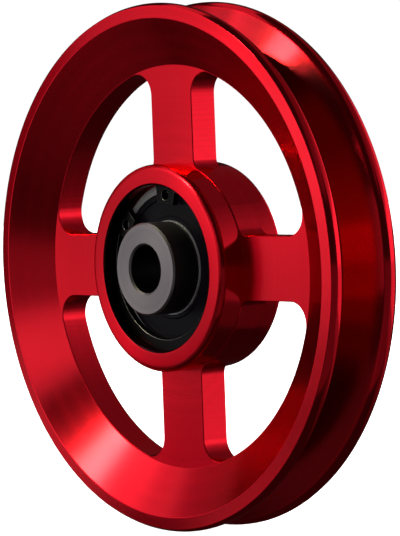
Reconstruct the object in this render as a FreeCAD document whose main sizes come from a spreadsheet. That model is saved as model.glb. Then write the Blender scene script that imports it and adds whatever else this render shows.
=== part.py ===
"""Cable pulley: a grooved four-spoke wheel on one sealed ball bearing, with a flanged bushing on each side.

The wheel turns about the Y axis, its middle plane is y = 0, and its retaining ring faces -Y, the front.
"""

import FreeCAD
import Part
import Sketcher
import os

# Driving dimensions, in millimetres, degrees or counts
SIZES = {
    # Rim and rope groove of the wheel
    "rim_diameter": 111.0,
    "rim_width": 18.1,
    "rim_depth": 13.0,
    "lip_width": 3.15,
    "lip_setback": 0.35,
    "crown_radius": 2.7,
    "crown_angle": 37.0,
    "groove_depth": 9.5,
    "groove_root_radius": 2.8,
    # Web, spokes and windows of the wheel
    "web_thickness": 6.4,
    "web_offset": 0.3,
    "spoke_count": 4,
    "spoke_width": 13.4,
    "window_rim_margin": 0.05,
    "window_hub_margin": 0.1,
    "window_rim_radius": 4.5,
    "window_hub_radius": 2.5,
    "window_edge_chamfer": 0.15,
    # Hub of the wheel, around the bearing
    "hub_wall": 4.3,
    "hub_edge_radius": 1.4,
    "shoulder_thickness": 2.25,
    "shoulder_height": 2.25,
    "seat_clearance": 0.01,
    "mouth_chamfer": 0.3,
    # Retaining ring and its groove
    "ring_groove_depth": 1.0,
    "ring_groove_setback": 2.3,
    "ring_thickness": 1.5,
    "ring_side_clearance": 0.1,
    "ring_edge_clearance": 0.05,
    "ring_back_width": 3.4,
    "ring_end_width": 1.9,
    "ring_lug_width": 4.9,
    "ring_lug_angle": 21.0,
    "ring_hole_diameter": 2.2,
    "ring_hole_inset": 3.1,
    "ring_gap_angle": 37.5,
    "ring_gap_direction": 115.0,
    # Bearing
    "bearing_outer_diameter": 35.0,
    "bearing_bore": 15.0,
    "bearing_width": 11.0,
    "bearing_chamfer": 0.6,
    "ball_count": 8,
    "ball_diameter": 5.953,
    "ball_clearance": 0.02,
    "race_radius": 3.1,
    "race_depth": 1.25,
    "seal_rim": 1.5,
    "seal_edge_clearance": 0.02,
    "seal_undercut": 0.3,
    "seal_setback": 0.3,
    "seal_thickness": 0.8,
    "seal_dish": 0.25,
    "seal_bead_width": 1.1,
    "seal_lip_width": 0.7,
    "seal_lip_clearance": 0.08,
    "seal_land_height": 2.4,
    "cage_clearance": 0.6,
    "cage_pocket_clearance": 0.12,
    "cage_rim": 0.6,
    "cage_reach": 1.5,
    # Flanged bushings
    "axle_bore": 10.0,
    "axle_bore_chamfer": 0.45,
    "bushing_length": 24.4,
    "bushing_flange_diameter": 19.4,
    "bushing_chamfer": 0.35,
    "spigot_clearance": 0.01,
    "spigot_gap": 0.2,
}

NORMAL = FreeCAD.Vector(0, 0, 1)
FRONT_AXIS = FreeCAD.Vector(0, -1, 0)

doc = FreeCAD.newDocument("cable_pulley")


def size_sheet():
    """The sheet of driving dimensions, one named cell each."""
    made = doc.addObject("Spreadsheet::Sheet", "sizes")
    for row, (alias, number) in enumerate(SIZES.items(), 1):
        made.set(f"A{row}", alias)
        made.set(f"B{row}", str(number))
        made.setAlias(f"B{row}", alias)
    doc.recompute()
    return made


sheet = size_sheet()


def s(alias):
    """A named size, as it is written in an expression."""
    return f"sizes.{alias}"


def half(alias):
    return f"(sizes.{alias} / 2)"


def value(expression):
    """The number that an expression over the sheet gives now."""
    return float(sheet.evalExpression(expression))


def point(corner):
    return FreeCAD.Vector(value(corner[0]), value(corner[1]), 0)


def polar(radius, angle):
    """A corner at a radius and an angle, both expressions, about the sketch's origin."""
    return f"{radius} * cos({angle})", f"{radius} * sin({angle})"


# Places that several pieces share, worked out from the sheet
RIM_R = half("rim_diameter")
RIM_HALF = half("rim_width")
DISH_R = f"({RIM_R} - {s('rim_depth')})"
WEB_FRONT = f"({half('web_thickness')} + {s('web_offset')})"
WEB_REAR = f"({half('web_thickness')} - {s('web_offset')})"
BEARING_R = half("bearing_outer_diameter")
BEARING_HALF = half("bearing_width")
BORE_R = half("bearing_bore")
SEAT_R = f"({BEARING_R} + {s('seat_clearance')})"
HUB_R = f"({BEARING_R} + {s('hub_wall')})"
RING_GROOVE_R = f"({BEARING_R} + {s('ring_groove_depth')})"
RING_GROOVE_FRONT = f"({BEARING_HALF} + {s('ring_thickness')} + {s('ring_side_clearance')})"
RING_R = f"({RING_GROOVE_R} - {s('ring_edge_clearance')})"
HUB_FRONT = f"({RING_GROOVE_FRONT} + {s('ring_groove_setback')})"
HUB_REAR = f"({BEARING_HALF} + {s('shoulder_thickness')})"
PITCH_R = f"(({s('bearing_outer_diameter')} + {s('bearing_bore')}) / 4)"
BALL_R = half("ball_diameter")
OUTER_RACE_R = f"({PITCH_R} + {BALL_R} + {s('ball_clearance')})"
INNER_RACE_R = f"({PITCH_R} - {BALL_R} - {s('ball_clearance')})"
OUTER_LAND_R = f"({OUTER_RACE_R} - {s('race_depth')})"
INNER_LAND_R = f"({INNER_RACE_R} + {s('race_depth')})"
SEAL_GROOVE_R = f"({BEARING_R} - {s('seal_rim')})"
SEAL_MOUTH_R = f"({SEAL_GROOVE_R} - {s('seal_undercut')})"
SEAL_LAND_R = f"({BORE_R} + {s('seal_land_height')})"
SEAL_OUT = f"({BEARING_HALF} - {s('seal_setback')})"
SEAL_IN = f"({SEAL_OUT} - {s('seal_thickness')})"
BALL_PITCH = f"(360 deg / {s('ball_count')})"


def bind(sketch, constraint, expression):
    """Adds a constraint whose size follows an expression over the sheet."""
    index = sketch.addConstraint(constraint)
    sketch.setExpression(f"Constraints[{index}]", expression)


def draw(sketch, corners):
    """Draws a closed outline with each corner and radius bound to the sheet.

    A corner is (x, y), both expressions. A third item, (radius, centre x, centre y, turn), makes the way to
    the next corner an arc, with turn 1 for anticlockwise and -1 for clockwise.
    """
    edges = []
    for number, corner in enumerate(corners):
        here = point(corner)
        there = point(corners[(number + 1) % len(corners)])
        if len(corner) == 2:
            edge = sketch.addGeometry(Part.LineSegment(here, there), False)
            edges.append((edge, 1, 2))
            continue
        radius, centre_x, centre_y, turn = corner[2]
        circle = Part.Circle(point((centre_x, centre_y)), NORMAL, value(radius))
        first, last = (here, there) if turn > 0 else (there, here)
        arc = Part.ArcOfCircle(circle, circle.parameter(first), circle.parameter(last))
        edge = sketch.addGeometry(arc, False)
        edges.append((edge, 1, 2) if turn > 0 else (edge, 2, 1))
        bind(sketch, Sketcher.Constraint("Radius", edge, value(radius)), radius)
    for number, (edge, start, _) in enumerate(edges):
        before, _, end = edges[number - 1]
        sketch.addConstraint(Sketcher.Constraint("Coincident", before, end, edge, start))
        for axis, expression in zip(("DistanceX", "DistanceY"), corners[number]):
            held = Sketcher.Constraint(axis, -1, 1, edge, start, value(expression))
            bind(sketch, held, expression)


def round_hole(sketch, centre, radius):
    """Draws a circle bound to the sheet."""
    circle = sketch.addGeometry(Part.Circle(point(centre), NORMAL, value(radius)), False)
    bind(sketch, Sketcher.Constraint("Radius", circle, value(radius)), radius)
    for axis, expression in zip(("DistanceX", "DistanceY"), centre):
        held = Sketcher.Constraint(axis, -1, 1, circle, 3, value(expression))
        bind(sketch, held, expression)


def new_body(label):
    body = doc.addObject("PartDesign::Body", label)
    body.Label = label
    return body


def origin_feature(body, role):
    return next(o for o in body.Origin.OriginFeatures if o.Role == role)


def new_sketch(body, name, plane):
    """A sketch on one of a body's own origin planes."""
    sketch = body.newObject("Sketcher::SketchObject", name)
    sketch.AttachmentSupport = [(origin_feature(body, plane), "")]
    sketch.MapMode = "FlatFace"
    doc.recompute()
    return sketch


def turned(label, corners):
    """A body of revolution about Y, from an outline of (radius, y) corners."""
    body = new_body(label)
    sketch = new_sketch(body, f"{label}_section", "XY_Plane")
    draw(sketch, corners)
    revolution = body.newObject("PartDesign::Revolution", f"{label}_turned")
    revolution.Profile = sketch
    revolution.ReferenceAxis = (sketch, ["V_Axis"])
    revolution.Angle = 360
    doc.recompute()
    return body


def cut_through(body, sketch, name):
    """A pocket through the whole body, both ways from its sketch."""
    before = body.Shape.Volume
    pocket = body.newObject("PartDesign::Pocket", name)
    pocket.Profile = sketch
    pocket.SideType = "Symmetric"
    pocket.Type = "ThroughAll"
    doc.recompute()
    if body.Shape.Volume >= before:
        raise RuntimeError(f"{name} cuts nothing")
    return pocket


def repeat_round(body, feature, name, count):
    """Repeats a feature evenly about the Y axis."""
    pattern = body.newObject("PartDesign::PolarPattern", name)
    pattern.Originals = [feature]
    pattern.Axis = (origin_feature(body, "Y_Axis"), [""])
    pattern.Angle = 360
    pattern.setExpression("Occurrences", count)
    body.Tip = pattern
    doc.recompute()
    return pattern


def turn_round(body):
    """Turns a piece half a turn about Z, so that its front faces the rear."""
    body.Placement = FreeCAD.Placement(FreeCAD.Vector(), FreeCAD.Rotation(NORMAL, 180))
    doc.recompute()
    return body


def rim_outside():
    """The rim's corners from lip edge to lip edge: round crowns, flared groove walls and a round root."""
    crown, root = s("crown_radius"), s("groove_root_radius")
    lip_turn = f"({s('crown_angle')} * 1 deg)"
    crown_r = f"({RIM_R} - {crown})"
    crown_y = f"({RIM_HALF} - {s('lip_setback')} - {crown} * sin({lip_turn}))"
    root_centre = f"({RIM_R} - {s('groove_depth')} + {root})"
    rise = f"({crown_r} - {root_centre})"
    flare = f"(acos(({root} + {crown}) / sqrt({rise} ^ 2 + {crown_y} ^ 2)) - atan({rise} / {crown_y}))"
    lip_r = f"({crown_r} + {crown} * cos({lip_turn}))"
    lip_y = f"({RIM_HALF} - {s('lip_setback')})"
    wall_r = f"({crown_r} + {crown} * sin({flare}))"
    wall_y = f"({crown_y} - {crown} * cos({flare}))"
    root_r = f"({root_centre} - {root} * sin({flare}))"
    root_y = f"({root} * cos({flare}))"
    return [
        (lip_r, f"-{lip_y}", (crown, crown_r, f"-{crown_y}", 1)),
        (wall_r, f"-{wall_y}"),
        (root_r, f"-{root_y}", (root, root_centre, "0", -1)),
        (root_r, root_y),
        (wall_r, wall_y, (crown, crown_r, crown_y, 1)),
        (lip_r, lip_y),
    ]


def wheel_section():
    """The wheel's half section, from the bearing's mouth round the rim to the rear shoulder and back."""
    lip_r = f"({RIM_R} - {s('lip_width')})"
    hub_round = s("hub_edge_radius")
    hub_round_r = f"({HUB_R} - {hub_round})"
    front_round_y = f"({hub_round} - {HUB_FRONT})"
    rear_round_y = f"({HUB_REAR} - {hub_round})"
    shoulder_r = f"({BEARING_R} - {s('shoulder_height')})"
    return [
        (f"{SEAT_R} + {s('mouth_chamfer')}", f"-{HUB_FRONT}"),
        (hub_round_r, f"-{HUB_FRONT}", (hub_round, hub_round_r, front_round_y, 1)),
        (HUB_R, front_round_y),
        (HUB_R, f"-{WEB_FRONT}"),
        (DISH_R, f"-{WEB_FRONT}"),
        (lip_r, f"-{RIM_HALF}"),
        *rim_outside(),
        (lip_r, RIM_HALF),
        (DISH_R, WEB_REAR),
        (HUB_R, WEB_REAR),
        (HUB_R, rear_round_y, (hub_round, hub_round_r, rear_round_y, 1)),
        (hub_round_r, HUB_REAR),
        (shoulder_r, HUB_REAR),
        (shoulder_r, BEARING_HALF),
        (SEAT_R, BEARING_HALF),
        (SEAT_R, f"-{BEARING_HALF}"),
        (RING_GROOVE_R, f"-{BEARING_HALF}"),
        (RING_GROOVE_R, f"-{RING_GROOVE_FRONT}"),
        (SEAT_R, f"-{RING_GROOVE_FRONT}"),
        (SEAT_R, f"{s('mouth_chamfer')} - {HUB_FRONT}"),
    ]


def window_outline():
    """One window between two spokes: arcs along rim and hub, straight spoke sides and round corners."""
    rim_r = f"({DISH_R} - {s('window_edge_chamfer')} - {s('window_rim_margin')})"
    hub_r = f"({HUB_R} + {s('window_edge_chamfer')} + {s('window_hub_margin')})"
    side = half("spoke_width")
    rim_round, hub_round = s("window_rim_radius"), s("window_hub_radius")
    rim_z = f"({side} + {rim_round})"
    rim_x = f"sqrt(({rim_r} - {rim_round}) ^ 2 - {rim_z} ^ 2)"
    hub_z = f"({side} + {hub_round})"
    hub_x = f"sqrt(({hub_r} + {hub_round}) ^ 2 - {hub_z} ^ 2)"
    rim_share = f"({rim_r} / ({rim_r} - {rim_round}))"
    hub_share = f"({hub_r} / ({hub_r} + {hub_round}))"
    spoke_angle = f"(360 deg / {s('spoke_count')})"

    def across(x, z):
        """The same place beside the next spoke."""
        return (
            f"({x}) * cos({spoke_angle}) + ({z}) * sin({spoke_angle})",
            f"({x}) * sin({spoke_angle}) - ({z}) * cos({spoke_angle})",
        )

    def arc(radius, centre, turn):
        return (radius, *centre, turn)

    hub_centre, rim_centre = (hub_x, hub_z), (rim_x, rim_z)
    hub_end = (f"{hub_x} * {hub_share}", f"{hub_z} * {hub_share}")
    rim_end = (f"{rim_x} * {rim_share}", f"{rim_z} * {rim_share}")
    middle = ("0", "0")
    return [
        (*hub_end, arc(hub_round, hub_centre, 1)),
        (hub_x, side),
        (rim_x, side, arc(rim_round, rim_centre, 1)),
        (*rim_end, arc(rim_r, middle, 1)),
        (*across(*rim_end), arc(rim_round, across(*rim_centre), 1)),
        across(rim_x, side),
        (*across(hub_x, side), arc(hub_round, across(*hub_centre), 1)),
        (*across(*hub_end), arc(hub_r, middle, -1)),
    ]


def runs_along_y(edge):
    return abs(edge.tangentAt(edge.FirstParameter).y) > 0.999


def window_rims(shape):
    """The names of the edges where the windows' walls open on the web's two faces."""
    rims = []
    for face in shape.Faces:
        if any(runs_along_y(edge) and not edge.isSeam(face) for edge in face.Edges):
            rims += [edge for edge in face.Edges if not runs_along_y(edge)]
    return [f"Edge{n}" for n, edge in enumerate(shape.Edges, 1) if any(edge.isSame(rim) for rim in rims)]


def sheave_wheel():
    """The wheel: turned in one piece, milled through between the spokes, and its window edges broken."""
    body = turned("sheave_wheel", wheel_section())
    sketch = new_sketch(body, "window_outline", "XZ_Plane")
    draw(sketch, window_outline())
    window = cut_through(body, sketch, "window")
    windows = repeat_round(body, window, "windows", s("spoke_count"))
    chamfer = body.newObject("PartDesign::Chamfer", "window_edges")
    chamfer.Base = (windows, window_rims(windows.Shape))
    chamfer.setExpression("Size", s("window_edge_chamfer"))
    body.Tip = chamfer
    doc.recompute()
    return body


def race_half_width(centre, land):
    """How far the race's arc reaches along Y where it meets the land beside it."""
    return f"sqrt({s('race_radius')} ^ 2 - ({land} - {centre}) ^ 2)"


def bearing_outer_ring():
    chamfer = s("bearing_chamfer")
    race_centre = f"({OUTER_RACE_R} - {s('race_radius')})"
    race_y = race_half_width(race_centre, OUTER_LAND_R)
    return turned(
        "bearing_outer_ring",
        [
            (SEAL_MOUTH_R, f"-{BEARING_HALF}"),
            (f"{BEARING_R} - {chamfer}", f"-{BEARING_HALF}"),
            (BEARING_R, f"{chamfer} - {BEARING_HALF}"),
            (BEARING_R, f"{BEARING_HALF} - {chamfer}"),
            (f"{BEARING_R} - {chamfer}", BEARING_HALF),
            (SEAL_MOUTH_R, BEARING_HALF),
            (SEAL_MOUTH_R, SEAL_OUT),
            (SEAL_GROOVE_R, SEAL_OUT),
            (SEAL_GROOVE_R, SEAL_IN),
            (OUTER_LAND_R, SEAL_IN),
            (OUTER_LAND_R, race_y, (s("race_radius"), race_centre, "0", -1)),
            (OUTER_LAND_R, f"-{race_y}"),
            (OUTER_LAND_R, f"-{SEAL_IN}"),
            (SEAL_GROOVE_R, f"-{SEAL_IN}"),
            (SEAL_GROOVE_R, f"-{SEAL_OUT}"),
            (SEAL_MOUTH_R, f"-{SEAL_OUT}"),
        ],
    )


def bearing_inner_ring():
    chamfer = s("bearing_chamfer")
    race_centre = f"({INNER_RACE_R} + {s('race_radius')})"
    race_y = race_half_width(race_centre, INNER_LAND_R)
    return turned(
        "bearing_inner_ring",
        [
            (f"{BORE_R} + {chamfer}", f"-{BEARING_HALF}"),
            (SEAL_LAND_R, f"-{BEARING_HALF}"),
            (SEAL_LAND_R, f"-{SEAL_IN}"),
            (INNER_LAND_R, f"-{SEAL_IN}"),
            (INNER_LAND_R, f"-{race_y}", (s("race_radius"), race_centre, "0", -1)),
            (INNER_LAND_R, race_y),
            (INNER_LAND_R, SEAL_IN),
            (SEAL_LAND_R, SEAL_IN),
            (SEAL_LAND_R, BEARING_HALF),
            (f"{BORE_R} + {chamfer}", BEARING_HALF),
            (BORE_R, f"{BEARING_HALF} - {chamfer}"),
            (BORE_R, f"{chamfer} - {BEARING_HALF}"),
        ],
    )


def bearing_ball(number):
    """One ball, halfway between two of the cage's fingers."""
    ball = doc.addObject("Part::Sphere", f"bearing_ball_{number}")
    ball.Label = f"bearing_ball_{number}"
    ball.setExpression("Radius", BALL_R)
    x, z = polar(PITCH_R, f"({BALL_PITCH} * {number - 1})")
    ball.setExpression("Placement.Base.x", x)
    ball.setExpression("Placement.Base.z", z)
    doc.recompute()
    return ball


def bearing_cage():
    """The snap-in cage: a ring behind the balls with fingers between them, cross-bored for each ball."""
    pocket_r = f"({BALL_R} + {s('cage_pocket_clearance')})"
    inner_r = f"({INNER_LAND_R} + {s('cage_clearance')})"
    outer_r = f"({OUTER_LAND_R} - {s('cage_clearance')})"
    back = f"({pocket_r} + {s('cage_rim')})"
    reach = s("cage_reach")
    corners = [(inner_r, f"-{reach}"), (outer_r, f"-{reach}"), (outer_r, back), (inner_r, back)]
    body = turned("bearing_cage", corners)
    sketch = new_sketch(body, "ball_pocket_outline", "YZ_Plane")
    round_hole(sketch, ("0", "0"), pocket_r)
    before = body.Shape.Volume
    pocket = body.newObject("PartDesign::Pocket", "ball_pocket")
    pocket.Profile = sketch
    pocket.Type = "Length"
    pocket.Reversed = True
    pocket.setExpression("Length", BEARING_R)
    doc.recompute()
    if body.Shape.Volume >= before:
        raise RuntimeError("ball_pocket cuts nothing")
    repeat_round(body, pocket, "ball_pockets", s("ball_count"))
    return body


def seal(label):
    """A rubber seal: a bead held in the outer ring, a dished face and a lip close to the inner ring."""
    lip_r = f"({SEAL_LAND_R} + {s('seal_lip_clearance')})"
    bead_r = f"({SEAL_MOUTH_R} - {s('seal_bead_width')})"
    edge_r = f"({SEAL_GROOVE_R} - {s('seal_edge_clearance')})"
    dish = f"({SEAL_OUT} - {s('seal_dish')})"
    dish_r = f"({lip_r} + {s('seal_lip_width')})"
    return turned(
        label,
        [
            (lip_r, f"-{SEAL_OUT}"),
            (dish_r, f"-{SEAL_OUT}"),
            (f"{dish_r} + {s('seal_dish')}", f"-{dish}"),
            (f"{bead_r} - {s('seal_dish')}", f"-{dish}"),
            (bead_r, f"-{SEAL_OUT}"),
            (edge_r, f"-{SEAL_OUT}"),
            (edge_r, f"-{SEAL_IN}"),
            (lip_r, f"-{SEAL_IN}"),
        ],
    )


def retaining_ring_outline():
    """The ring's outline with its gap towards +X: widest opposite the gap, with a lug at each end."""
    back, end = s("ring_back_width"), s("ring_end_width")
    inner = f"({RING_R} - ({back} + {end}) / 2)"
    shift = f"(({back} - {end}) / 2)"
    lug_r = f"({RING_R} - {s('ring_lug_width')})"
    lug_start = f"({s('ring_gap_angle')} * 0.5 deg)"
    lug_end = f"({lug_start} + {s('ring_lug_angle')} * 1 deg)"
    neck = f"({shift} * cos({lug_end}) + sqrt({inner} ^ 2 - ({shift} * sin({lug_end})) ^ 2))"

    def ring_arc(radius, turn, centre_x="0"):
        return (radius, centre_x, "0", turn)

    return [
        (*polar(RING_R, lug_start), ring_arc(RING_R, 1)),
        polar(RING_R, f"(-{lug_start})"),
        (*polar(lug_r, f"(-{lug_start})"), ring_arc(lug_r, -1)),
        polar(lug_r, f"(-{lug_end})"),
        (*polar(neck, f"(-{lug_end})"), ring_arc(inner, -1, shift)),
        polar(neck, lug_end),
        (*polar(lug_r, lug_end), ring_arc(lug_r, -1)),
        polar(lug_r, lug_start),
    ]


def retaining_ring():
    """The spring ring that holds the bearing in: stamped flat, with a plier hole in each lug."""
    body = new_body("retaining_ring")
    sketch = new_sketch(body, "ring_outline", "XZ_Plane")
    draw(sketch, retaining_ring_outline())
    hole_r = half("ring_hole_diameter")
    hole_at = f"({RING_R} - {s('ring_hole_inset')})"
    hole_angle = f"(({s('ring_gap_angle')} + {s('ring_lug_angle')}) * 0.5 deg)"
    for angle in (hole_angle, f"(-{hole_angle})"):
        round_hole(sketch, polar(hole_at, angle), hole_r)
    sketch.AttachmentOffset = FreeCAD.Placement(FreeCAD.Vector(), FreeCAD.Rotation())
    sketch.setExpression("AttachmentOffset.Base.z", BEARING_HALF)
    pad = body.newObject("PartDesign::Pad", "ring_stamping")
    pad.Profile = sketch
    pad.setExpression("Length", s("ring_thickness"))
    body.Placement = FreeCAD.Placement(FreeCAD.Vector(), FreeCAD.Rotation(FRONT_AXIS, 1))
    body.setExpression("Placement.Rotation.Angle", f"{s('ring_gap_direction')} * 1 deg")
    doc.recompute()
    return body


def bushing(label):
    """A flanged bushing: its spigot fits the bearing's bore and its flange stands out past the wheel."""
    bore_r = half("axle_bore")
    face = half("bushing_length")
    flange_r = half("bushing_flange_diameter")
    spigot_r = f"({BORE_R} - {s('spigot_clearance')})"
    chamfer, bore_chamfer = s("bushing_chamfer"), s("axle_bore_chamfer")
    return turned(
        label,
        [
            (f"{bore_r} + {bore_chamfer}", f"-{face}"),
            (f"{flange_r} - {chamfer}", f"-{face}"),
            (flange_r, f"{chamfer} - {face}"),
            (flange_r, f"-{BEARING_HALF}"),
            (spigot_r, f"-{BEARING_HALF}"),
            (spigot_r, f"-{half('spigot_gap')}"),
            (bore_r, f"-{half('spigot_gap')}"),
            (bore_r, f"{bore_chamfer} - {face}"),
        ],
    )


def check(pieces):
    """Stops if any object failed to build or any piece isn't a sound solid."""
    failed = [o.Name for o in doc.Objects if {"Invalid", "Error"} & set(o.State)]
    if failed:
        raise RuntimeError(f"objects failed: {failed}")
    for piece in pieces:
        if piece.Shape.isNull() or not piece.Shape.isValid() or piece.Shape.Volume <= 0:
            raise RuntimeError(f"{piece.Label} isn't a sound solid")


def write(pieces):
    os.makedirs("parts", exist_ok=True)
    for piece in pieces:
        piece.Shape.exportStep(f"parts/{piece.Label}.step")
        print(f"{piece.Label}: {piece.Shape.Volume:.1f} mm3")


def main():
    pieces = [
        sheave_wheel(),
        retaining_ring(),
        bearing_outer_ring(),
        bearing_inner_ring(),
        bearing_cage(),
        *[bearing_ball(number) for number in range(1, round(value(s("ball_count"))) + 1)],
        seal("front_seal"),
        turn_round(seal("rear_seal")),
        bushing("front_bushing"),
        turn_round(bushing("rear_bushing")),
    ]
    doc.recompute()
    check(pieces)
    write(pieces)


main()
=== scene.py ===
"""Cable pulley: the looks of a red anodised wheel with its bearing, retaining ring and bushings."""

import math

import bpy
from mathutils import Matrix, Vector
from mathutils.geometry import tessellate_polygon


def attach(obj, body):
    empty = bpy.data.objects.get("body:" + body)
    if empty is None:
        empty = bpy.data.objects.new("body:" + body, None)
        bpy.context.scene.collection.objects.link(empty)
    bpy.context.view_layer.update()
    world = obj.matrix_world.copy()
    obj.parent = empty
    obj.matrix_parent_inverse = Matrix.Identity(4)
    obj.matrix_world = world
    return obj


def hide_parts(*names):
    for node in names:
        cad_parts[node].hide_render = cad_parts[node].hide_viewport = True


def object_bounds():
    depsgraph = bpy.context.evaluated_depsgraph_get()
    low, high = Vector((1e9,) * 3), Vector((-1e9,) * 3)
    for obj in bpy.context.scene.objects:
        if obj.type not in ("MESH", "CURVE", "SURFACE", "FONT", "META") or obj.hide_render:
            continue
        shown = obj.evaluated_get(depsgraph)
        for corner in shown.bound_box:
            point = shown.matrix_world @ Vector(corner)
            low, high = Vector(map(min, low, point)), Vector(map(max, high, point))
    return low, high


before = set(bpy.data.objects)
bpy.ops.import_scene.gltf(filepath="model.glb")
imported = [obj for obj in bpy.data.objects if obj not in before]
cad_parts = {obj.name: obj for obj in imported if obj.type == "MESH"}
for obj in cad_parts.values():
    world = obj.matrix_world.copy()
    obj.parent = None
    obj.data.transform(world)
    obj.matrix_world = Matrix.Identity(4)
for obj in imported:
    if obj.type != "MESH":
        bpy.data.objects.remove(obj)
cad_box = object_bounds()
MM = 0.001

# The photograph's view, fitted to the circles of the rim, hub and bushing
IMAGE_W, IMAGE_H = 400, 536
SENSOR = 36.0
FOCAL_PX = 3606.0
VIEW_AZIMUTH, VIEW_ELEVATION, VIEW_ROLL = 50.84, 2.70, -2.16
VIEW_DISTANCE = 754.9 * MM
FRONT_CENTRE = Vector((0.0, -8.9 * MM, 0.0))
FRONT_CENTRE_PX = (157.1, 268.4)
CLIP_NEAR, CLIP_FAR = 0.01, 20.0

# Studio panels: azimuth, elevation, half angles across and up, brightness, and a colour if it isn't white
WHITE = (1, 1, 1)
PANEL_DISTANCE = 1.2
PANELS = {
    "key_lamp": (-29.2, 34.5, 4, 6, 42.0, (1, 1, 0.58)),
    "front_panel": (8, 3, 16, 11, 0.24),
    "left_panel": (-41, 18, 20, 24, 0.82),
    "upper_left_panel": (-42, 27, 13, 12, 0.1),
    "groove_panel": (-44.5, 36, 7.5, 6, 1.0),
    "low_left_panel": (-30, 1, 10, 8, 0.45),
    "lip_panel": (-38, 5, 6, 5, 1.2),
    "dish_panel": (-4, 14, 6, 8, 1.65),
    "left_lip_panel": (-65, -11.5, 7, 5.5, 0.85),
    "overhead_left_panel": (-85, 54, 25, 9, 0.65),
    "right_lip_panel": (-37, -8.5, 6, 3.5, 0.7),
    "low_lip_panel": (-42, -18, 8, 5, 0.6),
    "left_edge": (-73, 28, 12, 13, 0.31),
    "backdrop": (146, 8, 33, 9, 1.5),
    "low_backdrop": (146, -9, 33, 8, 0.9),
    "overhead_card": (150, 61, 60, 14, 0.14),
    "rear_table_card": (150, -24, 40, 7, 0.25),
    "near_table_card": (145, -40, 30, 9, 0.06),
    "right_table_card": (70, -24, 38, 24, 0.11),
    "rear_panel": (188, 16, 16, 12, 0.8),
    "low_front_card": (-12, -38, 45, 14, 0.06),
}
# Above the backdrop its brightness fades out in strips, given from the lowest up
FADE_AZIMUTH, FADE_LOW, FADE_HALF_ACROSS, FADE_HALF_UP = 146, 19.5, 33, 2.5
FADE = (0.60, 0.50, 0.41, 0.33, 0.26, 0.20)
# How bright the world is for the metal to mirror, and for the camera
AMBIENT, BACKDROP = 0.03, 1.05
FLOOR_HALF, FLOOR_GREY, FLOOR_ROUGHNESS = 1.6, 0.88, 0.9
WASH_SIZE, WASH_HEIGHT, WASH_BRIGHTNESS = 6.0, 1.6, 3.0

# The wheel's sizes in millimetres: radii from the axle, heights from the rim's middle plane to the front
RIM_R, RIM_HALF = 55.49, 9.05
LIP_R, LIP_SETBACK = 52.35, 0.35
CROWN, CROWN_ANGLE, BEVEL = 1.9, 25.3, 0.85
GROOVE_DEPTH, GROOVE_ROOT = 9.5, 1.8
DISH_R, WEB_FRONT, WEB_REAR = 42.5, 3.5, 2.9
HUB_R, HUB_FRONT, HUB_REAR, HUB_ROUND = 21.8, 9.4, 7.75, 1.4
SEAT_R, SEAT_HALF, MOUTH_CHAMFER = 17.51, 5.5, 0.3
RING_GROOVE_R, RING_GROOVE_FRONT = 18.5, 7.1
SHOULDER_R = 15.25
SPOKES, SPOKE_HALF = 4, 6.7
WINDOW_RIM_R, WINDOW_RIM_CORNER = 42.3, 4.5
WINDOW_HUB_R, WINDOW_HUB_CORNER = 22.05, 2.5
WINDOW_CHAMFER, CUTTER_REACH = 0.15, 1.0
# Broken edges: size outside and in a root, least turn of a corner, and the most of a side that one takes up
EDGE_BREAK, ROOT_BREAK, CORNER_TURN, SIDE_SHARE = 0.12, 0.04, 15.0, 0.3
# A side longer than so many breaks gets a place so many breaks from its corner, which keeps the side flat
LONG_SIDE, BESIDE_CORNER = 8, 1.5
# Steps of the wheel's arcs and sweep, and the least angle of an edge that stays sharp
HUB_ROUND_STEPS, CROWN_STEPS, GROOVE_ROOT_STEPS = 10, 18, 20
HUB_CORNER_STEPS, RIM_CORNER_STEPS, HUB_ARC_STEPS, RIM_ARC_STEPS = 10, 16, 20, 30
STEPS_ROUND, SWEEP_R, SHARP_ANGLE = 192, 60.0, 22.0

# The retaining ring's sizes in millimetres and degrees
RING_R, RING_BACK, RING_END = 18.45, 3.4, 1.9
RING_LUG, RING_LUG_ANGLE = 4.9, 21.0
RING_GAP_ANGLE, RING_GAP_AT = 37.5, 115.0
RING_HOLE_R, RING_HOLE_INSET = 1.1, 3.1
RING_REAR, RING_FRONT = 5.5, 7.0
# The ring's round edge, and how far in from the outline its sides are flat and unworn
RING_ROUND, RING_FLAT = 0.15, 0.3
RING_OUTSIDE_STEPS, RING_INSIDE_STEPS, LUG_STEPS, HOLE_STEPS, RING_ROUND_STEPS = 120, 90, 8, 28, 5

# Where finishes meet on the wheel: a radius in millimetres, and how far beyond it the change reaches
WINDOW_FROM, WINDOW_TO = (21.85, 0.05), (DISH_R, 0.1)
HUB_SIDE_TO, BORE_TO, DISH_FROM = (22.0, 0.2), (18.6, 0.1), (DISH_R, 0.1)
GROOVE_FROM, ROPE_RUN_TO = (45.0, 0.2), (54.0, 0.6)
# Cosines between the way a face points and the axle, from a full window wall to none
WALL_TILT = (0.3, 0.5)
# Cosines between the way a face points and the way out from the axle, where finishes begin or end
GROOVE_OUTWARD, HUB_SIDE_OUTWARD = (0.1, 0.2), (0.5, 0.9)
BORE_OUTWARD, DISH_OUTWARD = (-0.3, -0.1), (-0.4, -0.3)

# Colours as linear red, green and blue, shares of them that show, and how far past a bore painted shade
# reaches in millimetres
RED_DEEP, RED_BRIGHT, RED_SHEEN = (0.66, 0.0040, 0.0155), (0.76, 0.0050, 0.0185), (1.0, 0.4, 0.45)
# Painted shade: the rope groove's red is darkened towards this colour by this share
GROOVE_SHADE_RED, GROOVE_SHADE_SHARE = (0.16, 0.0008, 0.0030), 0.3
# Painted shade: the hub's bore is painted near black by this share
BORE_SHADE_BLACK, BORE_SHADE_SHARE = (0.012, 0.008, 0.009), 0.95
# Painted shade: a steel bore is painted this dark, fading out over this reach
STEEL_BORE_SHADE, BORE_SHADE_REACH = (0.012, 0.011, 0.012), 0.07
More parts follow.
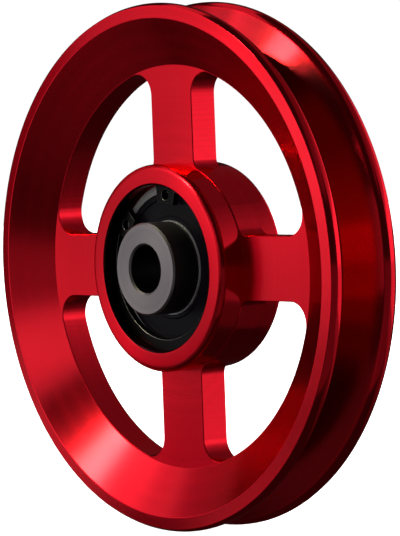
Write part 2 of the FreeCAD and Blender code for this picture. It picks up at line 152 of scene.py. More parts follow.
# Roughness and coat, and what each mask adds to them
RED_ROUGHNESS = 0.26
RED_ROUGHNESS_STEPS = {"band": 0.05, "smudge": 0.02, "polished": -0.14, "wall": -0.08, "dish": -0.05}
RED_COAT, RED_COAT_ROUGHNESS, RED_COAT_IOR = 0.13, 0.16, 1.5
RED_COAT_STEPS = {"smudge": -0.03, "rope_run": 0.05}
STEEL_ROUGHNESS_STEPS = {"band": 0.08, "smudge": 0.05}
GRAIN_ROUGHNESS_STEPS = {"speck": 0.12, "worn": -0.15, "smudge": -0.08}
# Fine lines spread the highlights across them; a quarter turn sets them along the tangent
RED_ANISOTROPY, STEEL_ANISOTROPY, QUARTER_TURN = 0.75, 0.3, 0.25
# Marks in millimetres: pitch of the cut, size of smudges, depth of the relief
RED_TURNING_PITCH, RED_MILLING_PITCH = 0.22, 0.6
RED_SMUDGE, STEEL_SMUDGE, GRAIN_SMUDGE = 14.0, 8.0, 6.0
RED_RELIEF, STEEL_RELIEF, GRAIN_RELIEF = 0.03, 0.02, 0.03
# Strength of the red's relief, how deep a wall's cut is beside a turned one, and what the rope's run adds
RED_RELIEF_STRENGTH, WALL_DEPTH, ROPE_RUN_EXTRA = 0.10, 7.0, 1.0
# Lathe marks follow the radius and this share of the height; their wider bands have this scale
HEIGHT_SHARE, BAND_SCALE = 0.7, 0.13
CUT_DETAIL, BAND_DETAIL, SMUDGE_DETAIL, GRAIN_DETAIL = 2.0, 3.0, 4.0, 3.0
SMUDGE_RANGE = (0.45, 0.75)
AXLE, OFF_AXLE = (0.0, 1.0, 0.0), (1.0, 0.0, 1.0)


def direction(azimuth, elevation):
    """The way from the wheel to a place in the studio; azimuth 0 is straight in front."""
    a, e = math.radians(azimuth), math.radians(elevation)
    return Vector((math.sin(a) * math.cos(e), -math.cos(a) * math.cos(e), math.sin(e)))


def opaque(colour):
    """A colour with its fourth part, as sockets take it."""
    return (*colour, 1)


def add_object(name, data):
    """A new object in the scene."""
    made = bpy.data.objects.new(name, data)
    bpy.context.scene.collection.objects.link(made)
    return made


class Nodes:
    """A node tree being written: an input takes a value, or a link where it is given a socket."""

    # Where a Mix node has its two inputs and its output
    MIX_SOCKETS = {"RGBA": (6, 7, 2), "VECTOR": (4, 5, 1)}

    def __init__(self, tree):
        self.tree = tree

    def give(self, target, given):
        """Sets or links one input."""
        if isinstance(given, bpy.types.NodeSocket):
            self.tree.links.new(given, target)
        else:
            target.default_value = given

    def put(self, node, **inputs):
        """Sets or links a node's inputs by name, with _ for a space."""
        for name, given in inputs.items():
            self.give(node.inputs[name.replace("_", " ")], given)

    def add(self, kind, **inputs):
        """A new node."""
        node = self.tree.nodes.new(kind)
        self.put(node, **inputs)
        return node

    def out(self, kind, **inputs):
        """The first output of a new node."""
        return self.add(kind, **inputs).outputs[0]

    def operate(self, kind, operation, given):
        """The outputs of a new node that works on what is given, in order."""
        node = self.add(kind)
        node.operation = operation
        for target, item in zip(node.inputs, given):
            self.give(target, item)
        return node.outputs

    def math(self, operation, *given):
        """A number worked out from others."""
        return self.operate("ShaderNodeMath", operation, given)[0]

    def vector(self, operation, *given):
        """A vector, or a number, worked out from vectors."""
        outputs = self.operate("ShaderNodeVectorMath", operation, given)
        return outputs["Value" if operation in ("LENGTH", "DOT_PRODUCT") else "Vector"]

    def smooth_step(self, value, low, high, start, end):
        """Goes smoothly from start to end while a value goes from low to high."""
        node = self.add("ShaderNodeMapRange")
        node.interpolation_type = "SMOOTHSTEP"
        self.put(node, Value=value, From_Min=low, From_Max=high, To_Min=start, To_Max=end)
        return node.outputs["Result"]

    def rises(self, value, low, high):
        """A mask that is 1 where a value is high."""
        return self.smooth_step(value, low, high, 0.0, 1.0)

    def falls(self, value, low, high):
        """A mask that is 1 where a value is low."""
        return self.smooth_step(value, low, high, 1.0, 0.0)

    def noise(self, dimensions, place, scale, detail):
        """Soft noise that changes along one way or more."""
        node = self.add("ShaderNodeTexNoise")
        node.noise_dimensions = dimensions
        self.put(node, Scale=scale, Detail=detail)
        self.give(node.inputs["W" if dimensions == "1D" else "Vector"], place)
        return node.outputs[0]

    def mix(self, kind, amount, first, second):
        """From one colour or vector to another."""
        node = self.add("ShaderNodeMix")
        node.data_type = kind
        first_at, second_at, result_at = self.MIX_SOCKETS[kind]
        self.give(node.inputs[0], amount)
        self.give(node.inputs[first_at], first)
        self.give(node.inputs[second_at], second)
        return node.outputs[result_at]

    def mix_colour(self, amount, first, second):
        """From one colour to another."""
        return self.mix("RGBA", amount, first, second)


def add_camera():
    """The camera at the photograph's viewing angle, without shift."""
    back = direction(VIEW_AZIMUTH, VIEW_ELEVATION)
    roll = math.radians(VIEW_ROLL)
    level = Vector((0, 0, 1)).cross(back).normalized()
    rise = back.cross(level)
    right = level * math.cos(roll) + rise * math.sin(roll)
    up = rise * math.cos(roll) - level * math.sin(roll)
    across = (FRONT_CENTRE_PX[0] - IMAGE_W / 2) / FOCAL_PX
    above = (IMAGE_H / 2 - FRONT_CENTRE_PX[1]) / FOCAL_PX
    eye = FRONT_CENTRE + (back - right * across - up * above) * VIEW_DISTANCE
    data = bpy.data.cameras.new("camera")
    data.sensor_width = SENSOR
    data.lens = FOCAL_PX * SENSOR / IMAGE_H
    data.clip_start, data.clip_end = CLIP_NEAR, CLIP_FAR
    camera = add_object("camera", data)
    turn = Matrix((right, up, back)).transposed().to_4x4()
    camera.matrix_world = Matrix.Translation(eye) @ turn
    bpy.context.scene.camera = camera


def add_floor():
    """A plain pale floor under the wheel, which no metal mirrors."""
    half, z = FLOOR_HALF, cad_box[0].z
    mesh = bpy.data.meshes.new("floor")
    corners = [(-half, -half, z), (half, -half, z), (half, half, z), (-half, half, z)]
    mesh.from_pydata(corners, [], [(0, 1, 2, 3)])
    floor = add_object("floor", mesh)
    pale = bpy.data.materials.new("pale_floor")
    pale.use_nodes = True
    shader = pale.node_tree.nodes["Principled BSDF"]
    grey = opaque((FLOOR_GREY, FLOOR_GREY, FLOOR_GREY))
    Nodes(pale.node_tree).put(shader, Base_Color=grey, Roughness=FLOOR_ROUGHNESS, Specular_IOR_Level=0.0)
    mesh.materials.append(pale)
    floor.visible_glossy = False


def add_floor_wash():
    """Light on the floor from above, which no metal mirrors."""
    data = bpy.data.lights.new("floor_wash", "AREA")
    data.size = WASH_SIZE
    data.use_shadow = False
    data.energy = WASH_BRIGHTNESS * math.pi * data.size ** 2
    wash = add_object("floor_wash", data)
    wash.location = (0, 0, WASH_HEIGHT)
    wash.visible_glossy = False
    wash.visible_camera = False


def add_world():
    """White behind the wheel for the camera, and dim all round for the metal to mirror."""
    world = bpy.data.worlds.new("studio")
    bpy.context.scene.world = world
    world.use_nodes = True
    world.node_tree.nodes.clear()
    n = Nodes(world.node_tree)
    seen = n.add("ShaderNodeLightPath").outputs["Is Camera Ray"]
    dim = n.out("ShaderNodeBackground", Color=opaque(WHITE), Strength=AMBIENT)
    white = n.out("ShaderNodeBackground", Color=opaque(WHITE), Strength=BACKDROP)
    mix = n.add("ShaderNodeMixShader", Fac=seen)
    n.give(mix.inputs[1], dim)
    n.give(mix.inputs[2], white)
    n.add("ShaderNodeOutputWorld", Surface=mix.outputs[0])


def add_panel(name, azimuth, elevation, half_across, half_up, brightness, colour=WHITE):
    """A soft rectangular light facing the wheel, sized by the angle that it fills."""
    data = bpy.data.lights.new(name, "AREA")
    data.shape = "RECTANGLE"
    data.size = 2 * PANEL_DISTANCE * math.tan(math.radians(half_across))
    data.size_y = 2 * PANEL_DISTANCE * math.tan(math.radians(half_up))
    data.energy = brightness * math.pi * data.size * data.size_y
    data.color = colour
    panel = add_object(name, data)
    towards = direction(azimuth, elevation)
    turn = towards.to_track_quat("Z", "Y").to_matrix().to_4x4()
    panel.matrix_world = Matrix.Translation(towards * PANEL_DISTANCE) @ turn
    panel.visible_camera = False


def add_studio():
    """The floor, the world and the panels that the metal mirrors."""
    add_floor()
    add_floor_wash()
    add_world()
    for name, panel in PANELS.items():
        add_panel(name, *panel)
    # The lamp shows once in the metal; a second mirroring of it would only sparkle
    bpy.data.lights["key_lamp"].cycles.max_bounces = 0
    for step, brightness in enumerate(FADE):
        elevation = FADE_LOW + 2 * FADE_HALF_UP * step
        strip = (FADE_AZIMUTH, elevation, FADE_HALF_ACROSS, FADE_HALF_UP, brightness)
        add_panel(f"backdrop_fade_{step}", *strip)
    bpy.context.scene.view_settings.view_transform = "Standard"


def new_tree(family, name, inputs, outputs):
    """A node group with named sockets; gives its writer, its inputs and its output node."""
    tree = bpy.data.node_groups.new(name, family)
    for socket, kind, *default in inputs:
        made = tree.interface.new_socket(socket, in_out="INPUT", socket_type="NodeSocket" + kind)
        if default:
            made.default_value = default[0]
    for socket, kind in outputs:
        tree.interface.new_socket(socket, in_out="OUTPUT", socket_type="NodeSocket" + kind)
    source = tree.nodes.new("NodeGroupInput")
    result = tree.nodes.new("NodeGroupOutput")
    return Nodes(tree), source.outputs, result


def from_axle(n, place):
    """How far a place lies from the axle."""
    return n.vector("LENGTH", n.vector("MULTIPLY", place, OFF_AXLE))


def turning_marks_group():
    """Rings left by a lathe tool: they change along the section, and run round the axle."""
    n, given, result = new_tree(
        "ShaderNodeTree",
        "turning_marks",
        [("Place", "Vector"), ("Pitch", "Float", 0.25 * MM)],
        [("Height", "Float"), ("Band", "Float")],
    )
    height = n.add("ShaderNodeSeparateXYZ", Vector=given["Place"]).outputs["Y"]
    along = n.math("MULTIPLY_ADD", height, HEIGHT_SHARE, from_axle(n, given["Place"]))
    turns = n.math("DIVIDE", along, given["Pitch"])
    fine = n.noise("1D", turns, 1.0, CUT_DETAIL)
    band = n.noise("1D", turns, BAND_SCALE, BAND_DETAIL)
    n.put(result, Height=fine, Band=band)
    return n.tree


def milling_marks_group():
    """Lines left by an end mill on a wall: they run along the axle and change round the wall."""
    n, given, result = new_tree(
        "ShaderNodeTree",
        "milling_marks",
        [("Place", "Vector"), ("Pitch", "Float", 0.5 * MM)],
        [("Height", "Float")],
    )
    split = n.add("ShaderNodeSeparateXYZ", Vector=given["Place"]).outputs
    flat = n.out("ShaderNodeCombineXYZ", X=split["X"], Y=split["Z"])
    spread = n.math("DIVIDE", 1.0, given["Pitch"])
    n.put(result, Height=n.noise("2D", flat, spread, CUT_DETAIL))
    return n.tree


def handling_group():
    """Faint smudges from handling, as a mask from 0, clean, to 1."""
    n, given, result = new_tree(
        "ShaderNodeTree",
        "handling",
        [("Place", "Vector"), ("Size", "Float", 12.0 * MM)],
        [("Smudge", "Float")],
    )
    spread = n.math("DIVIDE", 1.0, given["Size"])
    cloud = n.noise("3D", given["Place"], spread, SMUDGE_DETAIL)
    n.put(result, Smudge=n.rises(cloud, *SMUDGE_RANGE))
    return n.tree


TURNING = turning_marks_group()
MILLING = milling_marks_group()
HANDLING = handling_group()


def new_material(name):
    """A material with its writer, its shader and the place on the piece."""
    material = bpy.data.materials.new(name)
    material.use_nodes = True
    n = Nodes(material.node_tree)
    shader = material.node_tree.nodes["Principled BSDF"]
    return material, n, shader, n.add("ShaderNodeTexCoord").outputs


def effect(n, group, **inputs):
    """The outputs of a shader group."""
    node = n.add("ShaderNodeGroup")
    node.node_tree = group
    n.put(node, **inputs)
    return node.outputs


def stepped(n, value, steps, masks):
    """A value to which each mask adds its own step."""
    for name, step in steps.items():
        if name in masks:
            value = n.math("MULTIPLY_ADD", masks[name], step, value)
    return value


def beyond(n, radius, place, reach):
    """A mask that is 1 farther from the axle than a radius in millimetres."""
    return n.rises(radius, place * MM, (place + reach) * MM)


def within(n, radius, place, reach):
    """A mask that is 1 nearer to the axle than a radius in millimetres."""
    return n.falls(radius, place * MM, (place + reach) * MM)


def round_the_axle(n, place):
    """The way round the axle at each place of a piece, for marks that a lathe leaves."""
    return n.vector("CROSS_PRODUCT", AXLE, place)


def set_tangent(n, shader, marks):
    """Lays a shader's highlights across marks that run a given way on the piece."""
    node = n.add("ShaderNodeVectorTransform", Vector=marks)
    node.vector_type = "VECTOR"
    node.convert_from, node.convert_to = "OBJECT", "WORLD"
    n.put(shader, Tangent=node.outputs[0])


def set_relief(n, shader, strength, depth, height):
    """Gives a shader a fine relief, with its depth in millimetres."""
    n.put(shader, Normal=n.out("ShaderNodeBump", Strength=strength, Distance=depth * MM, Height=height))


def wheel_masks(n, place, facing):
    """Masks of the faces that the wheel's maker cut or polished in different ways."""
    radius = from_axle(n, place)
    tilt = n.math("ABSOLUTE", n.add("ShaderNodeSeparateXYZ", Vector=facing).outputs["Y"])
    away = n.vector("NORMALIZE", n.vector("MULTIPLY", place, OFF_AXLE))
    outward = n.vector("DOT_PRODUCT", facing, away)
    # Window walls stand square to the web, outside the hub and inside the dish
    in_window = n.math("MULTIPLY", beyond(n, radius, *WINDOW_FROM), within(n, radius, *WINDOW_TO))
    wall = n.math("MULTIPLY", n.falls(tilt, *WALL_TILT), in_window)
    # The rope groove, the crowns and the hub's side face outward; the hub's bore and the dish face inward
    groove = n.math("MULTIPLY", beyond(n, radius, *GROOVE_FROM), n.rises(outward, *GROOVE_OUTWARD))
    hub_side = n.math("MULTIPLY", within(n, radius, *HUB_SIDE_TO), n.rises(outward, *HUB_SIDE_OUTWARD))
    bore = n.math("MULTIPLY", within(n, radius, *BORE_TO), n.falls(outward, *BORE_OUTWARD))
    dish = n.math("MULTIPLY", beyond(n, radius, *DISH_FROM), n.falls(outward, *DISH_OUTWARD))
    return {
        "wall": wall,
        "bore": bore,
        "dish": dish,
        "polished": n.math("MAXIMUM", n.math("MAXIMUM", groove, hub_side), bore),
        "rope_run": n.math("MULTIPLY", groove, within(n, radius, *ROPE_RUN_TO)),
    }


def red_anodised():
    """Bright red anodised aluminium: turned faces, milled window walls and a polished rope groove."""
    material, n, shader, place = new_material("red_anodised_aluminium")
    at = place["Object"]
    turned = effect(n, TURNING, Place=at, Pitch=RED_TURNING_PITCH * MM)
    milled = effect(n, MILLING, Place=at, Pitch=RED_MILLING_PITCH * MM)
    masks = wheel_masks(n, at, place["Normal"])
    masks["band"] = turned["Band"]
    masks["smudge"] = effect(n, HANDLING, Place=at, Size=RED_SMUDGE * MM)["Smudge"]
    wall, rope_run = masks["wall"], masks["rope_run"]
    # The dye varies a little with the cut; painted shade darkens the rope groove, and painted shade makes the
    # hub's bore near black
    red = n.mix_colour(masks["band"], opaque(RED_DEEP), opaque(RED_BRIGHT))
    # Painted shade in the rope groove
    red = n.mix_colour(n.math("MULTIPLY", rope_run, GROOVE_SHADE_SHARE), red, opaque(GROOVE_SHADE_RED))
    # Painted shade makes the hub's bore near black
    red = n.mix_colour(n.math("MULTIPLY", masks["bore"], BORE_SHADE_SHARE), red, opaque(BORE_SHADE_BLACK))
    rough = stepped(n, RED_ROUGHNESS, RED_ROUGHNESS_STEPS, masks)
    coat = stepped(n, RED_COAT, RED_COAT_STEPS, masks)
    n.put(shader, Base_Color=red, Roughness=rough, Coat_Weight=coat)
    n.put(shader, Metallic=1.0, Specular_Tint=opaque(RED_SHEEN))
    n.put(shader, Coat_Roughness=RED_COAT_ROUGHNESS, Coat_IOR=RED_COAT_IOR)
    n.put(shader, Anisotropic=RED_ANISOTROPY, Anisotropic_Rotation=QUARTER_TURN)
    set_tangent(n, shader, n.mix("VECTOR", wall, round_the_axle(n, at), AXLE))
    cut = n.math("MULTIPLY", n.math("SUBTRACT", 1.0, wall), turned["Height"])
    cut = n.math("MULTIPLY", cut, n.math("MULTIPLY_ADD", rope_run, ROPE_RUN_EXTRA, 1.0))
    cut = n.math("MULTIPLY_ADD", n.math("MULTIPLY", wall, WALL_DEPTH), milled["Height"], cut)
    set_relief(n, shader, RED_RELIEF_STRENGTH, RED_RELIEF, cut)
    return material


def turned_steel(name, dark, light, metallic, roughness, pitch, strength, bore=0.0):
    """Steel with fine rings from a lathe or grinder and painted shade darkening its bore, sizes in
    millimetres.
    """
    material, n, shader, place = new_material(name)
    at = place["Object"]
    turned = effect(n, TURNING, Place=at, Pitch=pitch * MM)
    smudge = effect(n, HANDLING, Place=at, Size=STEEL_SMUDGE * MM)["Smudge"]
    steel = n.mix_colour(turned["Band"], opaque(dark), opaque(light))
    # Painted shade darkens the bore
    bore_shade = within(n, from_axle(n, at), bore, BORE_SHADE_REACH)
    colour = n.mix_colour(bore_shade, steel, opaque(STEEL_BORE_SHADE))
    rough = stepped(n, roughness, STEEL_ROUGHNESS_STEPS, {"band": turned["Band"], "smudge": smudge})
    n.put(shader, Base_Color=colour, Roughness=rough)
    n.put(shader, Metallic=metallic, Anisotropic=STEEL_ANISOTROPY, Anisotropic_Rotation=QUARTER_TURN)
    set_tangent(n, shader, round_the_axle(n, at))
    set_relief(n, shader, strength, STEEL_RELIEF, turned["Height"])
    return material


def grained(name, dark, light, metallic, roughness, shine, grain, strength, worn=None):
    """A dull skin, such as phosphate or rubber, with its grain in millimetres and its worn edges' colour."""
    material, n, shader, place = new_material(name)
    at = place["Object"]
    speck = n.noise("3D", at, 1 / (grain * MM), GRAIN_DETAIL)
    masks = {"speck": speck, "smudge": effect(n, HANDLING, Place=at, Size=GRAIN_SMUDGE * MM)["Smudge"]}
    colour = n.mix_colour(speck, opaque(dark), opaque(light))
    if worn:
        edge = n.add("ShaderNodeAttribute")
        edge.attribute_name = "worn_edge"
        masks["worn"] = edge.outputs["Fac"]
        colour = n.mix_colour(masks["worn"], colour, opaque(worn))
    n.put(shader, Base_Color=colour, Roughness=stepped(n, roughness, GRAIN_ROUGHNESS_STEPS, masks))
    n.put(shader, Metallic=metallic, Specular_IOR_Level=shine)
    set_relief(n, shader, strength, GRAIN_RELIEF, speck)
    return material


def bushing_steel():
    """Dull turned steel, with painted shade darkening the bore."""
    return turned_steel(
        "bushing_steel",
        dark=(0.19, 0.165, 0.18),
        light=(0.26, 0.23, 0.245),
        metallic=1.0,
        roughness=0.34,
        pitch=0.18,
        strength=0.08,
        bore=5.03,
    )


def race_steel():
    """Fine ground steel of the bearing's rings."""
    return turned_steel(
        "ground_bearing_steel",
        dark=(0.15, 0.14, 0.14),
        light=(0.21, 0.20, 0.20),
        metallic=0.8,
        roughness=0.36,
        pitch=0.12,
        strength=0.05,
    )


def ball_steel():
    """Polished steel of the bearing's balls."""
    return turned_steel(
        "polished_ball_steel",
        dark=(0.60, 0.60, 0.60),
        light=(0.66, 0.66, 0.66),
        metallic=1.0,
        roughness=0.08,
        pitch=0.4,
        strength=0.01,
    )


def ring_steel():
    """Black phosphated spring steel, worn bright along its edges."""
    return grained(
        "phosphated_spring_steel",
        dark=(0.004, 0.004, 0.004),
        light=(0.012, 0.011, 0.012),
        metallic=1.0,
        roughness=0.38,
        shine=0.5,
        grain=0.3,
        strength=0.15,
        worn=(0.16, 0.15, 0.15),
    )


def seal_rubber():
    """Black rubber of the bearing's seals."""
    return grained(
        "black_seal_rubber",
        dark=(0.0008, 0.0006, 0.0010),
        light=(0.0020, 0.0014, 0.0026),
        metallic=0.0,
        roughness=0.34,
        shine=0.06,
        grain=0.2,
        strength=0.10,
    )


def cage_nylon():
    """Natural nylon of the bearing's cage."""
    return grained(
        "cage_nylon",
        dark=(0.30, 0.24, 0.14),
        light=(0.36, 0.29, 0.18),
        metallic=0.0,
        roughness=0.40,
        shine=0.5,
        grain=0.4,
        strength=0.10,
    )


def arc(centre, radius, start, end, steps):
    """Places along an arc, from one angle to another, in degrees."""
    turns = [math.radians(start + (end - start) * n / steps) for n in range(steps + 1)]
    return [(centre[0] + radius * math.cos(t), centre[1] + radius * math.sin(t)) for t in turns]


def wheel_outline():
    """The wheel's half section as (radius, height) places, from the hub's mouth round the rim and back."""
    rise, run = math.sin(math.radians(CROWN_ANGLE)), math.cos(math.radians(CROWN_ANGLE))
    crown_r, crown_h = RIM_R - CROWN, RIM_HALF - LIP_SETBACK - CROWN * rise - BEVEL * run
    lip_edge_r = crown_r + CROWN * run - BEVEL * rise
    root_r = RIM_R - GROOVE_DEPTH + GROOVE_ROOT
    climb = crown_r - root_r
    # The groove's flank touches both the crown and the root
    slope = math.atan(climb / crown_h)
    flare = math.degrees(math.acos((GROOVE_ROOT + CROWN) / math.hypot(climb, crown_h)) - slope)
    hub_round_r = HUB_R - HUB_ROUND
    return [
        (SEAT_R + MOUTH_CHAMFER, HUB_FRONT),
        *arc((hub_round_r, HUB_FRONT - HUB_ROUND), HUB_ROUND, 90, 0, HUB_ROUND_STEPS),
        (HUB_R, WEB_FRONT),
        (DISH_R, WEB_FRONT),
        (LIP_R, RIM_HALF),
        (lip_edge_r, RIM_HALF - LIP_SETBACK),
        *arc((crown_r, crown_h), CROWN, CROWN_ANGLE, flare - 90, CROWN_STEPS),
        *arc((root_r, 0), GROOVE_ROOT, 90 + flare, 270 - flare, GROOVE_ROOT_STEPS),
        *arc((crown_r, -crown_h), CROWN, 90 - flare, -CROWN_ANGLE, CROWN_STEPS),
        (lip_edge_r, LIP_SETBACK - RIM_HALF),
        (LIP_R, -RIM_HALF),
        (DISH_R, -WEB_REAR),
        (HUB_R, -WEB_REAR),
        *arc((hub_round_r, HUB_ROUND - HUB_REAR), HUB_ROUND, 0, -90, HUB_ROUND_STEPS),
        (SHOULDER_R, -HUB_REAR),
        (SHOULDER_R, -SEAT_HALF),
        (SEAT_R, -SEAT_HALF),
        (SEAT_R, SEAT_HALF),
        (RING_GROOVE_R, SEAT_HALF),
        (RING_GROOVE_R, RING_GROOVE_FRONT),
        (SEAT_R, RING_GROOVE_FRONT),
        (SEAT_R, HUB_FRONT - MOUTH_CHAMFER),
    ]


def break_edges(outline):
    """The outline with its corners broken as by a hand file, and a place beside each on long sides."""
    broken = []
    for number, here in enumerate(outline):
        here = Vector(here)
        back = Vector(outline[number - 1]) - here
        ahead = Vector(outline[(number + 1) % len(outline)]) - here
        turn = math.degrees((-back).angle_signed(ahead))
        if abs(turn) < CORNER_TURN:
            broken.append(here)
            continue
        size = EDGE_BREAK if turn > 0 else ROOT_BREAK
        reach = min(size, SIDE_SHARE * back.length, SIDE_SHARE * ahead.length)
        start, end = here + back.normalized() * reach, here + ahead.normalized() * reach
        if back.length > LONG_SIDE * reach:
            broken.append(here + back.normalized() * BESIDE_CORNER * reach)
        broken += [start, (start + end) / 4 + here / 2, end]
        if ahead.length > LONG_SIDE * reach:
            broken.append(here + ahead.normalized() * BESIDE_CORNER * reach)
    return broken


def window_outline(grow):
    """The edge of one window, larger all round by grow: two spoke sides, the rim's arc and the hub's arc."""
    pitch = 360 / SPOKES
    rim_side, hub_side = SPOKE_HALF + WINDOW_RIM_CORNER, SPOKE_HALF + WINDOW_HUB_CORNER
    rim_out = math.sqrt((WINDOW_RIM_R - WINDOW_RIM_CORNER) ** 2 - rim_side ** 2)
    hub_out = math.sqrt((WINDOW_HUB_R + WINDOW_HUB_CORNER) ** 2 - hub_side ** 2)
    rim_turn = math.degrees(math.atan2(rim_side, rim_out))
    hub_turn = math.degrees(math.atan2(hub_side, hub_out))
    side = arc((hub_out, hub_side), WINDOW_HUB_CORNER + grow, 180 + hub_turn, 270, HUB_CORNER_STEPS)
    side += arc((rim_out, rim_side), WINDOW_RIM_CORNER + grow, 270, 360 + rim_turn, RIM_CORNER_STEPS)
    c, d = math.cos(math.radians(pitch)), math.sin(math.radians(pitch))
    other_side = [(x * c + z * d, x * d - z * c) for x, z in reversed(side)]
    along_rim = arc((0, 0), WINDOW_RIM_R + grow, rim_turn, pitch - rim_turn, RIM_ARC_STEPS)[1:-1]
    along_hub = arc((0, 0), WINDOW_HUB_R - grow, pitch - hub_turn, hub_turn, HUB_ARC_STEPS)[1:-1]
    return side + along_rim + other_side + along_hub


def add_mesh(name, places, edges, faces):
    """A new object with a mesh, from places in millimetres."""
    mesh = bpy.data.meshes.new(name)
    mesh.from_pydata([Vector(place) * MM for place in places], edges, faces)
    return add_object(name, mesh)


def loop_edges(first, count):
    """The edges of a closed loop of places."""
    return [(first + n, first + (n + 1) % count) for n in range(count)]


def wall_faces(first, count, levels):
    """The faces between loops of places, where each loop lies a level above the one before."""
    starts = range(first, first + count * (levels - 1), count)
    return [(a, b, b + count, a + count) for start in starts for a, b in loop_edges(start, count)]


def window_cutter():
    """What the mill takes out for one window, flared where the window's edges are broken."""
    levels = [
        (-WEB_REAR - CUTTER_REACH, WINDOW_CHAMFER),
        (-WEB_REAR, WINDOW_CHAMFER),
        (-WEB_REAR + WINDOW_CHAMFER, 0),
        (WEB_FRONT - WINDOW_CHAMFER, 0),
        (WEB_FRONT, WINDOW_CHAMFER),
        (WEB_FRONT + CUTTER_REACH, WINDOW_CHAMFER),
    ]
    places = [(x, z, height) for height, grow in levels for x, z in window_outline(grow)]
    count = len(places) // len(levels)
    faces = wall_faces(0, count, len(levels))
    faces.append(tuple(reversed(range(count))))
    faces.append(tuple(range(len(places) - count, len(places))))
    return add_mesh("window_cutter", places, [], faces)


def turned_wheel_tree():
    """Turns a section round the axle, mills a window between each two spokes and shades the edges sharp."""
    n, given, result = new_tree(
        "GeometryNodeTree",
        "turned_wheel",
        [
            ("Section", "Geometry"),
            ("Window Cutter", "Object"),
            ("Steps Round", "Int"),
            ("Sweep Radius", "Float"),
            ("Spokes", "Int"),
            ("Sharp Angle", "Float"),
            ("Finish", "Material"),
        ],
        [("Wheel", "Geometry")],
    )
    steps, radius = given["Steps Round"], given["Sweep Radius"]
    # Lathe: the section follows a circle, moved in by the circle's radius
    section = n.out("GeometryNodeMeshToCurve", Mesh=given["Section"])
    inward = n.out("ShaderNodeCombineXYZ", X=n.math("MULTIPLY", radius, -1.0))
    section = n.out("GeometryNodeTransform", Geometry=section, Translation=inward)
    way = n.out("GeometryNodeCurvePrimitiveCircle", Resolution=steps, Radius=radius)
    blank = n.out("GeometryNodeCurveToMesh", Curve=way, Profile_Curve=section)
    # Mill: one cutter for each space between spokes
    spaces = n.out("GeometryNodePoints", Count=given["Spokes"])
    pitch = n.math("DIVIDE", math.tau, given["Spokes"])
    turn = n.math("MULTIPLY", n.out("GeometryNodeInputIndex"), pitch)
    turn = n.out("FunctionNodeEulerToRotation", Euler=n.out("ShaderNodeCombineXYZ", Z=turn))
    cutter = n.add("GeometryNodeObjectInfo", Object=given["Window Cutter"]).outputs["Geometry"]
    cutters = n.out("GeometryNodeInstanceOnPoints", Points=spaces, Instance=cutter, Rotation=turn)
    cutters = n.out("GeometryNodeRealizeInstances", Geometry=cutters)
    milled = n.add("GeometryNodeMeshBoolean", Mesh_1=blank, Mesh_2=cutters)
    milled.operation = "DIFFERENCE"
    milled.solver = "MANIFOLD"
    # The lathe's axis becomes the axle, with the front towards -Y
    upright = (math.pi / 2, 0.0, 0.0)
    wheel = n.out("GeometryNodeTransform", Geometry=milled.outputs[0], Rotation=upright)
    smooth = n.out("GeometryNodeSetShadeSmooth", Geometry=wheel, Shade_Smooth=True)
    angle = n.add("GeometryNodeInputMeshEdgeAngle").outputs["Unsigned Angle"]
    sharp = n.math("GREATER_THAN", angle, given["Sharp Angle"])
    edged = n.add("GeometryNodeSetShadeSmooth", Geometry=smooth, Selection=sharp, Shade_Smooth=False)
    edged.domain = "EDGE"
    whole = n.out("GeometryNodeRealizeInstances", Geometry=edged.outputs[0])
    n.put(result, Wheel=n.out("GeometryNodeSetMaterial", Geometry=whole, Material=given["Finish"]))
    return n.tree


def turned_wheel(finish):
    """The wheel, turned and milled in one piece, as a plain mesh in the CAD frame."""
    outline = break_edges(wheel_outline())
    places = [(radius, -height, 0) for radius, height in outline]
    wheel = add_mesh("turned_wheel", places, loop_edges(0, len(places)), [])
    cutter = window_cutter()
    tree = turned_wheel_tree()
    modifier = wheel.modifiers.new("turned_wheel", "NODES")
    modifier.node_group = tree
    sizes = {
        "Window Cutter": cutter,
        "Steps Round": STEPS_ROUND,
        "Sweep Radius": SWEEP_R * MM,
        "Spokes": SPOKES,
        "Sharp Angle": math.radians(SHARP_ANGLE),
        "Finish": finish,
    }
    for socket in tree.interface.items_tree:
        if socket.name in sizes:
            modifier[socket.identifier] = sizes[socket.name]
    ready = bpy.context.evaluated_depsgraph_get()
    mesh = bpy.data.meshes.new_from_object(wheel.evaluated_get(ready), depsgraph=ready)
    wheel.modifiers.clear()
    mesh.materials.clear()
    mesh.materials.append(finish)
    wheel.data = mesh
    bpy.data.objects.remove(cutter)
    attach(wheel, "wheel")
    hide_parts("sheave_wheel")


def ring_loops():
    """The edges of the ring and of its plier holes, seen from the front, with the sheet on their left."""
    middle = (0, 0)
    inner, shift = RING_R - (RING_BACK + RING_END) / 2, (RING_BACK - RING_END) / 2
    lug_r, hole_at = RING_R - RING_LUG, RING_R - RING_HOLE_INSET
    start, end = RING_GAP_ANGLE / 2, RING_GAP_ANGLE / 2 + RING_LUG_ANGLE
    rise, run = math.sin(math.radians(end)), math.cos(math.radians(end))
    neck = shift * run + math.sqrt(inner ** 2 - (shift * rise) ** 2)
    neck_angle = math.degrees(math.atan2(neck * rise, neck * run - shift))
    edge = arc(middle, RING_R, start, 360 - start, RING_OUTSIDE_STEPS)
    edge += arc(middle, lug_r, -start, -end, LUG_STEPS)
    edge += arc((shift, 0), inner, -neck_angle, neck_angle - 360, RING_INSIDE_STEPS)
    edge += arc(middle, lug_r, end, start, LUG_STEPS)
    hole_angle = math.radians((start + end) / 2)
    holes = []
    for side in (1, -1):
        centre = (hole_at * math.cos(hole_angle), side * hole_at * math.sin(hole_angle))
        holes.append(arc(centre, RING_HOLE_R, 360, 0, HOLE_STEPS)[:-1])
    turn = Matrix.Rotation(math.radians(RING_GAP_AT), 2)
    return [[turn @ Vector(place) for place in loop] for loop in (edge, *holes)]


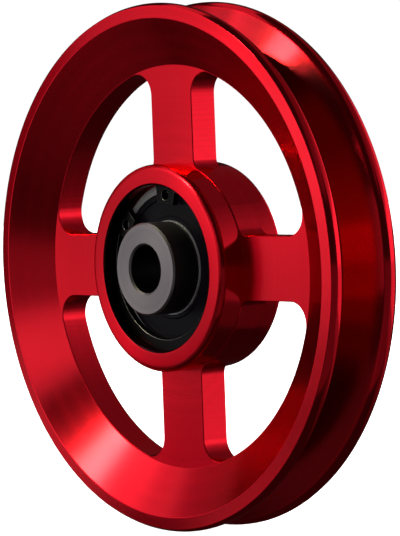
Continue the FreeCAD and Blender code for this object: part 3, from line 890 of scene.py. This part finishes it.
def ring_levels():
    """Levels through the ring's sheet, from the rear: height, depth in from the outline, and wear."""
    turns = [math.radians(90 * n / RING_ROUND_STEPS) for n in range(RING_ROUND_STEPS + 1)]
    edge = [(RING_ROUND * (1 - math.cos(t)), RING_ROUND * (1 - math.sin(t)), math.sin(2 * t)) for t in turns]
    levels = [(RING_REAR, RING_FLAT, 0.0)]
    levels += [(RING_REAR + up, depth, wear) for up, depth, wear in edge]
    levels += [(RING_FRONT - up, depth, wear) for up, depth, wear in reversed(edge)]
    levels += [(RING_FRONT, RING_FLAT, 0.0)]
    return levels


def moved_in(loop, depth):
    """A loop moved to its left by a depth, with its corners kept."""
    moved = []
    for number, here in enumerate(loop):
        before = (here - loop[number - 1]).normalized()
        after = (loop[(number + 1) % len(loop)] - here).normalized()
        left = Vector((-before.y - after.y, before.x + after.x))
        moved.append(here + left * depth / (1 + before.dot(after)))
    return moved


def side_faces(loops, levels):
    """The faces of the ring's flat front and rear, between the loop of its edge and those of its holes."""
    rear, front, first = [], [], 0
    for loop in loops:
        rear += range(first, first + len(loop))
        first += len(loop) * levels
        front += range(first - len(loop), first)
    places = [place for loop in loops for place in loop]
    faces = []
    for a, b, c in tessellate_polygon([[(x, z, 0) for x, z in loop] for loop in loops]):
        (x0, z0), (x1, z1), (x2, z2) = places[a], places[b], places[c]
        if (x1 - x0) * (z2 - z0) - (z1 - z0) * (x2 - x0) < 0:
            b, c = c, b
        faces.append((front[a], front[b], front[c]))
        faces.append((rear[a], rear[c], rear[b]))
    return faces


def stamped_ring(finish):
    """The retaining ring, stamped from sheet, with the edges that tumbling leaves round."""
    loops, levels = ring_loops(), ring_levels()
    places, faces, worn = [], [], []
    for loop in loops:
        faces += wall_faces(len(places), len(loop), len(levels))
        for height, depth, wear in levels:
            places += [(x, -height, z) for x, z in moved_in(loop, depth)]
            worn += [wear] * len(loop)
    faces += side_faces([moved_in(loop, RING_FLAT) for loop in loops], len(levels))
    ring = add_mesh("stamped_ring", places, [], faces)
    ring.data.attributes.new("worn_edge", "FLOAT", "POINT").data.foreach_set("value", worn)
    ring.data.materials.append(finish)
    ring.data.shade_smooth()
    ring.data.set_sharp_from_angle(angle=math.radians(SHARP_ANGLE))
    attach(ring, "wheel")
    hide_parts("retaining_ring")


def dress_nodes():
    """Makes the wheel and the retaining ring anew, and gives every piece of the pulley its finish."""
    red, ring, bushing, race, ball = red_anodised(), ring_steel(), bushing_steel(), race_steel(), ball_steel()
    rubber, nylon = seal_rubber(), cage_nylon()
    turned_wheel(red)
    stamped_ring(ring)
    finishes = {
        "sheave_wheel": red,
        "retaining_ring": ring,
        "bearing_outer_ring": race,
        "bearing_inner_ring": race,
        "bearing_cage": nylon,
        "front_seal": rubber,
        "rear_seal": rubber,
        "front_bushing": bushing,
        "rear_bushing": bushing,
    }
    for name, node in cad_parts.items():
        node.data.materials.clear()
        node.data.materials.append(finishes.get(name, ball))


add_camera()
add_studio()
dress_nodes()
